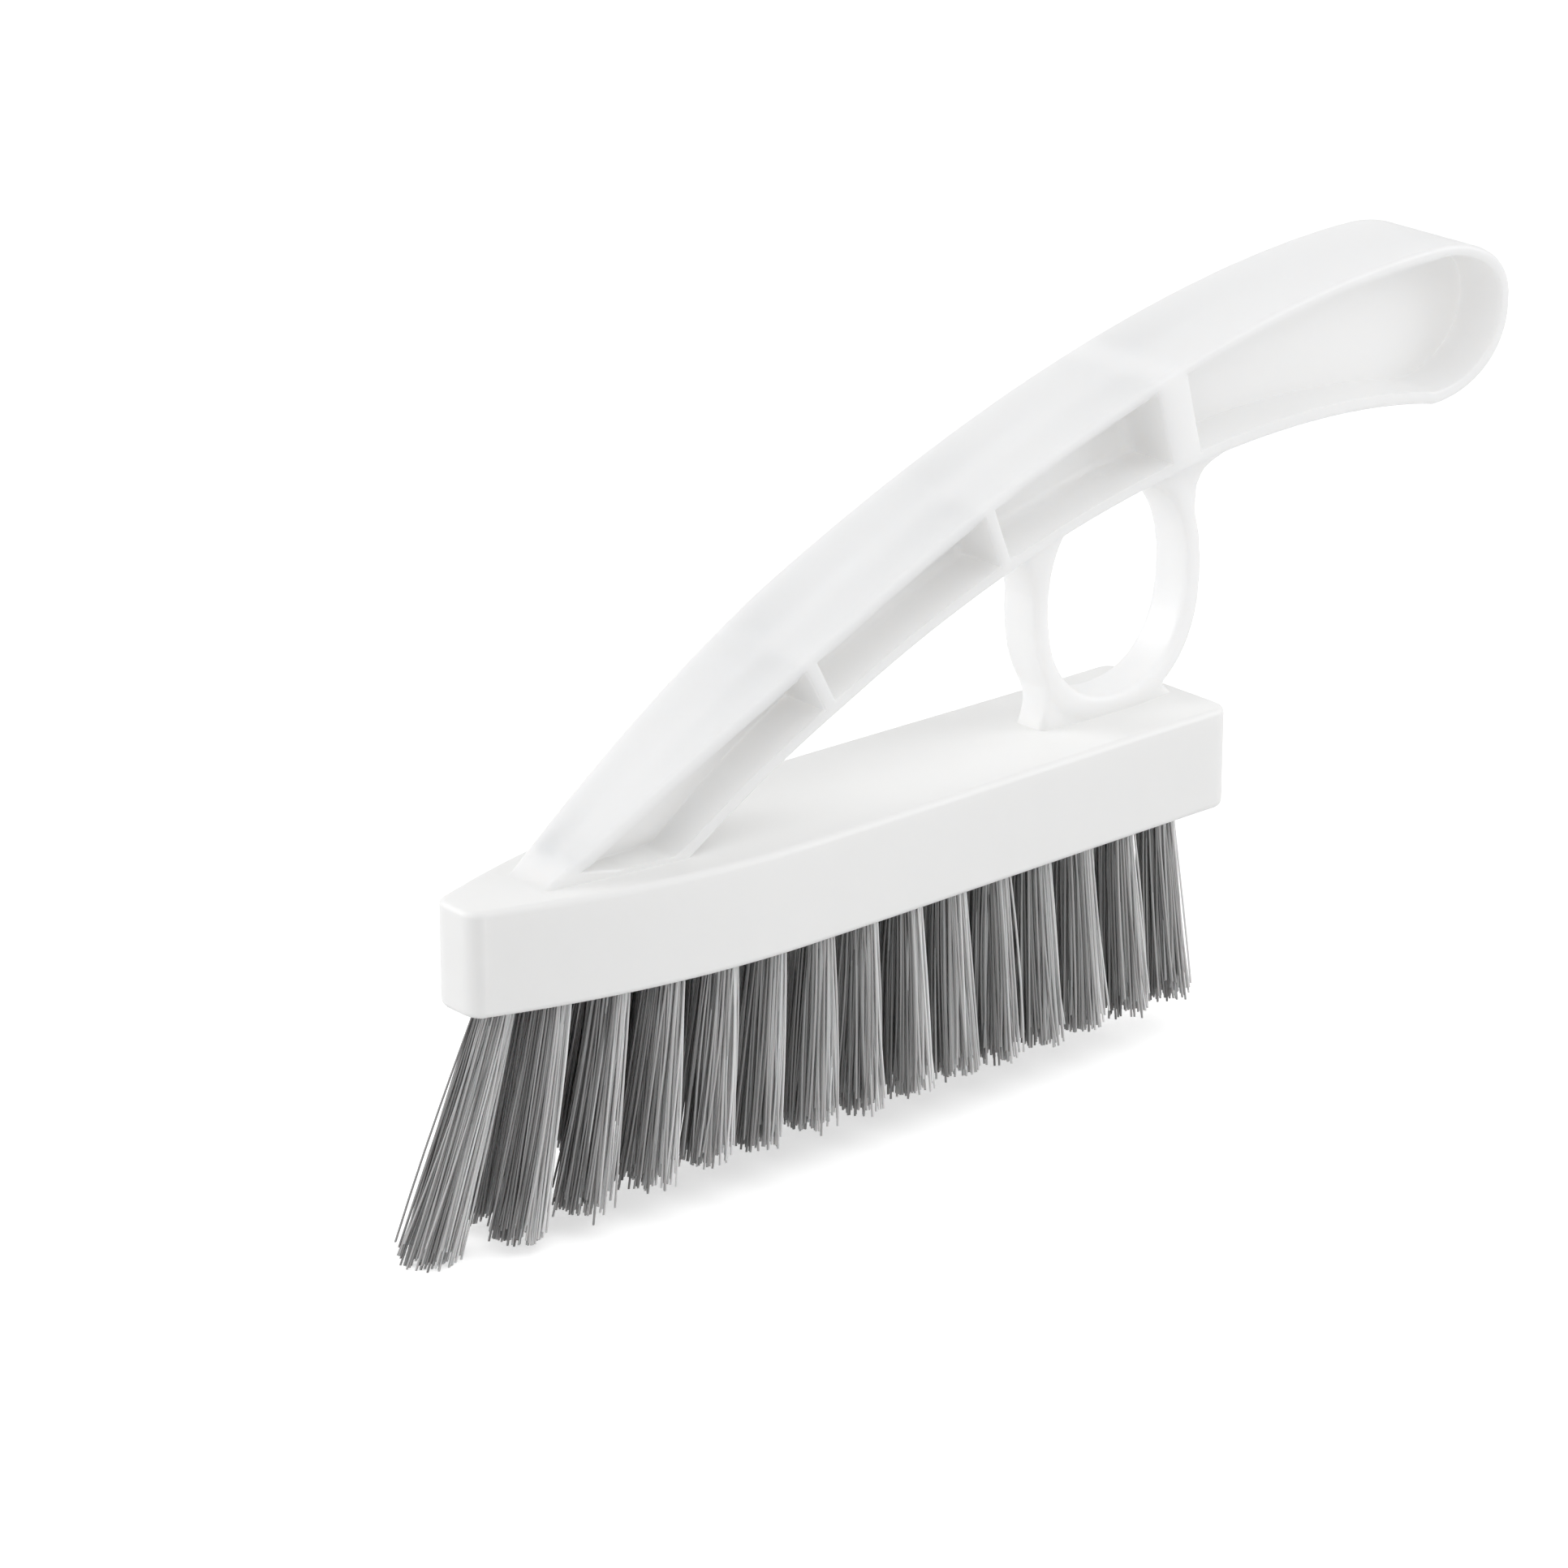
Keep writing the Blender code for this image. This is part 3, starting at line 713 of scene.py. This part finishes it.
def make_ring_foot(block, ring, columns=56, rows=20, row_power=1.5, plan_power=2.4, rear_to_front=3):
    """The saddle that fills the place between the ring and the top of the block.

    Its rows lie closer together near the block. Its plan is a little squarer than an ellipse, and it
    spreads farther to the rear than to the front.
    """
    least = ring.width / 2 - ring.foot_setback

    def flare(z):
        return (1 - min(max(z - block.height, 0) / ring.foot_height, 1)) ** 2

    bm = bmesh.new()
    bmesh.ops.create_grid(bm, x_segments=columns, y_segments=rows, size=0.5)
    for vert in bm.verts:
        along, up = vert.co.x + 0.5, (vert.co.y + 0.5) ** row_power
        x = ring.x + blend(-ring.foot_front, ring.foot_rear, along)
        z = blend(block.height - ring.reach, ring_z(block, ring) - ring_crown(ring, x), up)
        widest = blend(least, ring.foot_width / 2, (1 - abs(2 * along - 1) ** plan_power) ** 0.5)
        spread = ring.foot_spread * flare(z) * (along**3 - (1 - along) ** 3 / rear_to_front)
        vert.co = (x + spread, -blend(least, widest, flare(z)), z)
    grown = bmesh.ops.extrude_face_region(bm, geom=bm.faces[:])
    for vert in moved_verts(grown):
        vert.co.y = -vert.co.y
    return new_operand("ring foot", bm)


def make_ring(block, handle, ring):
    """The hoop and its two flares, run together as they are in the moulding."""
    hoop = make_ring_hoop(block, ring)
    combine(hoop, "UNION", [make_ring_neck(block, handle, ring), make_ring_foot(block, ring)])
    remesh = hoop.modifiers.new("melt", "REMESH")
    remesh.mode = "VOXEL"
    remesh.voxel_size = ring.grain
    smooth = hoop.modifiers.new("soften", "SMOOTH")
    smooth.iterations = ring.rounds
    hoop.modifiers.new("triangles", "TRIANGULATE")
    apply_modifiers(hoop)
    return hoop


# Bristles


def root_of(place):
    """The x and y of a tuft's root, over which its anchor lies."""
    low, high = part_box(f"anchor_{place}")
    return (low.x + high.x) / 2, (low.y + high.y) / 2


def tip_of(place, end_height=1.5 * MM):
    """The middle of a tuft's trimmed end, and the height of its longest filaments."""
    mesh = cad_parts[f"tuft_{place}"].data
    points = np.empty(len(mesh.vertices) * 3)
    mesh.vertices.foreach_get("co", points)
    points = points.reshape(-1, 3)
    lowest = points[:, 2].min()
    ends = points[points[:, 2] < lowest + end_height]
    middle = (ends.min(axis=0) + ends.max(axis=0)) / 2
    return middle[0], middle[1], max(lowest, 0)


def filament_mesh(sizes, sides=5, steps=6):
    """One filament: a slim rod of unit length, which stands on the origin."""
    bm = bmesh.new()
    radius = sizes.diameter / 2
    bmesh.ops.create_cone(bm, cap_ends=True, segments=sides, radius1=radius, radius2=radius, depth=1)
    upright = [edge for edge in bm.edges if edge.verts[0].co.z != edge.verts[1].co.z]
    bmesh.ops.subdivide_edges(bm, edges=upright, cuts=steps - 1, use_grid_fill=True)
    bmesh.ops.translate(bm, verts=bm.verts, vec=(0, 0, 0.5))
    bmesh.ops.recalc_face_normals(bm, faces=bm.faces)
    mesh = bpy.data.meshes.new("filament")
    bm.to_mesh(mesh)
    bm.free()
    return mesh


def make_tuft(place, sizes, filament, material, turn_jitter=0.3, tone_jitter=0.5, fan_power=1.1):
    """Filaments that leave one hole together and fan out to a ragged, flat trim, with painted light on each
    tuft's rear side.
    """
    chance = random.Random(place)
    count = sizes.filaments
    root = np.array(root_of(place))
    tip_x, tip_y, trim = tip_of(place)
    bm = bmesh.new()
    for _ in range(count):
        bm.from_mesh(filament)
    mesh = bpy.data.meshes.new(f"bristles_{place}")
    bm.to_mesh(mesh)
    bm.free()
    points = np.empty(len(mesh.vertices) * 3)
    mesh.vertices.foreach_get("co", points)
    points = points.reshape(count, -1, 3)
    tones_with_painted_light = np.empty(points.shape[:2])
    top = NOSE.z + sizes.inside
    for number, rod in enumerate(points):
        ring = math.sqrt((number + 0.5) / count)
        turn = number * GOLDEN_ANGLE + chance.uniform(-turn_jitter, turn_jitter)
        out = np.array([math.cos(turn), math.sin(turn)]) * ring
        start = root + out * sizes.root_radius
        stray = np.array([chance.gauss(0, sizes.stray), chance.gauss(0, sizes.stray)])
        end = np.array([tip_x, tip_y]) + out * sizes.tip_radius + stray
        bend = np.array([chance.gauss(0, sizes.bow), chance.gauss(0, sizes.bow)])
        low = trim + sizes.ragged * chance.random() ** 2
        along = 1 - rod[:, 2:3]
        rod[:, :2] += start + (end - start) * along**fan_power + bend * 4 * along * (1 - along)
        rod[:, 2:3] = top + (low - top) * along
        # Painted light: a filament's tone rises towards the tuft's rear side, as if lit from there, and the
        # jitter adds a random tone
        tones_with_painted_light[number] = 0.5 + sizes.contrast * out[0] + tone_jitter * (chance.random() - 0.5)
    mesh.vertices.foreach_set("co", points.ravel())
    tone_with_painted_light = mesh.attributes.new("tone_with_painted_light", "FLOAT", "POINT")
    tone_with_painted_light.data.foreach_set("value", tones_with_painted_light.ravel())
    mesh.shade_smooth()
    mesh.set_sharp_from_angle(angle=FILAMENT_CREASE)
    item = bpy.data.objects.new(f"bristles_{place}", mesh)
    bpy.context.scene.collection.objects.link(item)
    dress(item, material, "grey_bristle", f"tuft_{place}")


# Stage


# The place that the lamps face, and each one's name, place, size and power in metres and watts
LAMP_TARGET = Vector((0, 0, 0.04))
LAMPS = (
    ("left softbox", (-0.74, 0.79, 0.53), 0.7, 5.7),
    ("right softbox", (0.86, -0.66, 0.42), 0.6, 3.4),
    ("top softbox", (-0.15, -0.45, 1.0), 0.9, 2.8),
)


def make_floor(sizes, material):
    bm = bmesh.new()
    bmesh.ops.create_grid(bm, x_segments=1, y_segments=1, size=sizes.floor_size)
    mesh = bpy.data.meshes.new("floor")
    bm.to_mesh(mesh)
    bm.free()
    mesh.materials.append(material)
    floor = bpy.data.objects.new("floor", mesh)
    bpy.context.scene.collection.objects.link(floor)


def light_world(scene, fill_light):
    """A soft even light, which looks white where it is seen."""
    world = bpy.data.worlds.new("studio")
    world.use_nodes = True
    scene.world = world
    nodes, links = world.node_tree.nodes, world.node_tree.links
    background = nodes["Background"]
    background.inputs["Color"].default_value = (1, 1, 1, 1)
    path = nodes.new("ShaderNodeLightPath")
    seen = path.outputs["Is Camera Ray"]
    for kind in ("Is Glossy Ray", "Is Transmission Ray"):
        either = nodes.new("ShaderNodeMath")
        either.operation = "MAXIMUM"
        links.new(seen, either.inputs[0])
        links.new(path.outputs[kind], either.inputs[1])
        seen = either.outputs[0]
    strength = nodes.new("ShaderNodeMapRange")
    strength.inputs["To Min"].default_value = fill_light
    strength.inputs["To Max"].default_value = 1.0
    links.new(seen, strength.inputs["Value"])
    links.new(strength.outputs["Result"], background.inputs["Strength"])


def make_lamp(name, place, size, energy):
    lamp = bpy.data.lights.new(name, "AREA")
    lamp.shape = "SQUARE"
    lamp.size = size
    lamp.energy = energy
    item = bpy.data.objects.new(name, lamp)
    item.location = place
    item.rotation_euler = (LAMP_TARGET - item.location).to_track_quat("-Z", "Y").to_euler()
    bpy.context.scene.collection.objects.link(item)


def aim_camera(scene, sizes):
    turn, rise = sizes.azimuth, sizes.elevation
    back = Vector((math.sin(turn) * math.cos(rise), -math.cos(turn) * math.cos(rise), math.sin(rise)))
    right = Vector((math.cos(turn), math.sin(turn), 0))
    up = back.cross(right)
    target = NOSE + Vector((sizes.aim_x, 0, 0))
    place = target - right * sizes.aside + up * sizes.below + back * sizes.distance
    data = bpy.data.cameras.new("camera")
    data.lens = sizes.lens
    data.sensor_width = 36
    camera = bpy.data.objects.new("camera", data)
    turned = Matrix((right, up, back)).transposed().to_4x4()
    camera.matrix_world = Matrix.Translation(place) @ turned
    scene.collection.objects.link(camera)
    scene.camera = camera


# Operators


class BRUSH_OT_body(Operator):
    """Adds the white moulding: the block, the arched handle and the finger ring in one piece"""

    bl_idname = "brush.body"
    bl_label = "Body"

    def execute(self, context):
        scene = context.scene
        block, handle, ring = scene.brush_block, scene.brush_handle, scene.brush_ring
        body = make_block(block)
        body.name = "body"
        combine(body, "UNION", [make_handle(block, handle), make_ring(block, handle, ring)])
        combine(body, "DIFFERENCE", [make_tuft_holes(block)])
        body.data.shade_smooth()
        body.data.set_sharp_from_angle(angle=BODY_CREASE)
        weigh = body.modifiers.new("weigh normals", "WEIGHTED_NORMAL")
        weigh.keep_sharp = True
        top = NOSE.z + block.height
        plastic = white_plastic(scene.brush_colors.plastic, top, top + ring.gap)
        dress(body, plastic, "white_plastic", "brush_body")
        return {"FINISHED"}


class BRUSH_OT_bristles(Operator):
    """Adds the grey filaments of every tuft"""

    bl_idname = "brush.bristles"
    bl_label = "Bristles"

    def execute(self, context):
        sizes = context.scene.brush_bristles
        colors = context.scene.brush_colors
        material = grey_bristle(colors.bristle_dark, colors.bristle_light)
        filament = filament_mesh(sizes)
        for place in TUFTS:
            make_tuft(place, sizes, filament, material)
        bpy.data.meshes.remove(filament)
        return {"FINISHED"}


class BRUSH_OT_anchors(Operator):
    """Finishes the steel anchors that hold the tufts in their holes"""

    bl_idname = "brush.anchors"
    bl_label = "Anchors"

    def execute(self, context):
        material = anchor_steel(context.scene.brush_colors.steel)
        for place in TUFTS:
            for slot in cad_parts[f"anchor_{place}"].material_slots:
                slot.material = material
        return {"FINISHED"}


class BRUSH_OT_stage(Operator):
    """Adds the pale floor, the soft lamps, the world and the camera"""

    bl_idname = "brush.stage"
    bl_label = "Stage"

    def execute(self, context):
        scene = context.scene
        sizes = scene.brush_stage
        scene.view_settings.view_transform = "Standard"
        make_floor(sizes, pale_floor(scene.brush_colors.floor, sizes.floor_glow))
        light_world(scene, sizes.fill_light)
        for name, place, size, energy in LAMPS:
            make_lamp(name, place, size, energy)
        aim_camera(scene, sizes)
        return {"FINISHED"}


class BRUSH_PT_sidebar(Panel):
    bl_label = "Cleaning Brush"
    bl_idname = "BRUSH_PT_sidebar"
    bl_space_type = "VIEW_3D"
    bl_region_type = "UI"
    bl_category = "Cleaning Brush"

    def draw(self, context):
        layout = self.layout
        for name, sizes in SETTINGS.items():
            box = layout.box()
            box.label(text=name.removeprefix("brush_").capitalize())
            for key in sizes.__annotations__:
                box.prop(getattr(context.scene, name), key)
        for piece in PIECES:
            layout.operator(piece.bl_idname)


SETTINGS = {
    "brush_block": BlockSizes,
    "brush_handle": HandleSizes,
    "brush_ring": RingSizes,
    "brush_bristles": BristleSizes,
    "brush_colors": FinishColors,
    "brush_stage": StageSizes,
}
PIECES = (BRUSH_OT_body, BRUSH_OT_bristles, BRUSH_OT_anchors, BRUSH_OT_stage)


def register():
    for item in (*SETTINGS.values(), *PIECES, BRUSH_PT_sidebar):
        bpy.utils.register_class(item)
    for name, sizes in SETTINGS.items():
        setattr(bpy.types.Scene, name, PointerProperty(type=sizes))


def unregister():
    for name in SETTINGS:
        delattr(bpy.types.Scene, name)
    for item in (BRUSH_PT_sidebar, *PIECES, *SETTINGS.values()):
        bpy.utils.unregister_class(item)


def main():
    register()
    bpy.ops.brush.body()
    bpy.ops.brush.bristles()
    bpy.ops.brush.anchors()
    bpy.ops.brush.stage()


if __name__ == "__main__":
    main()
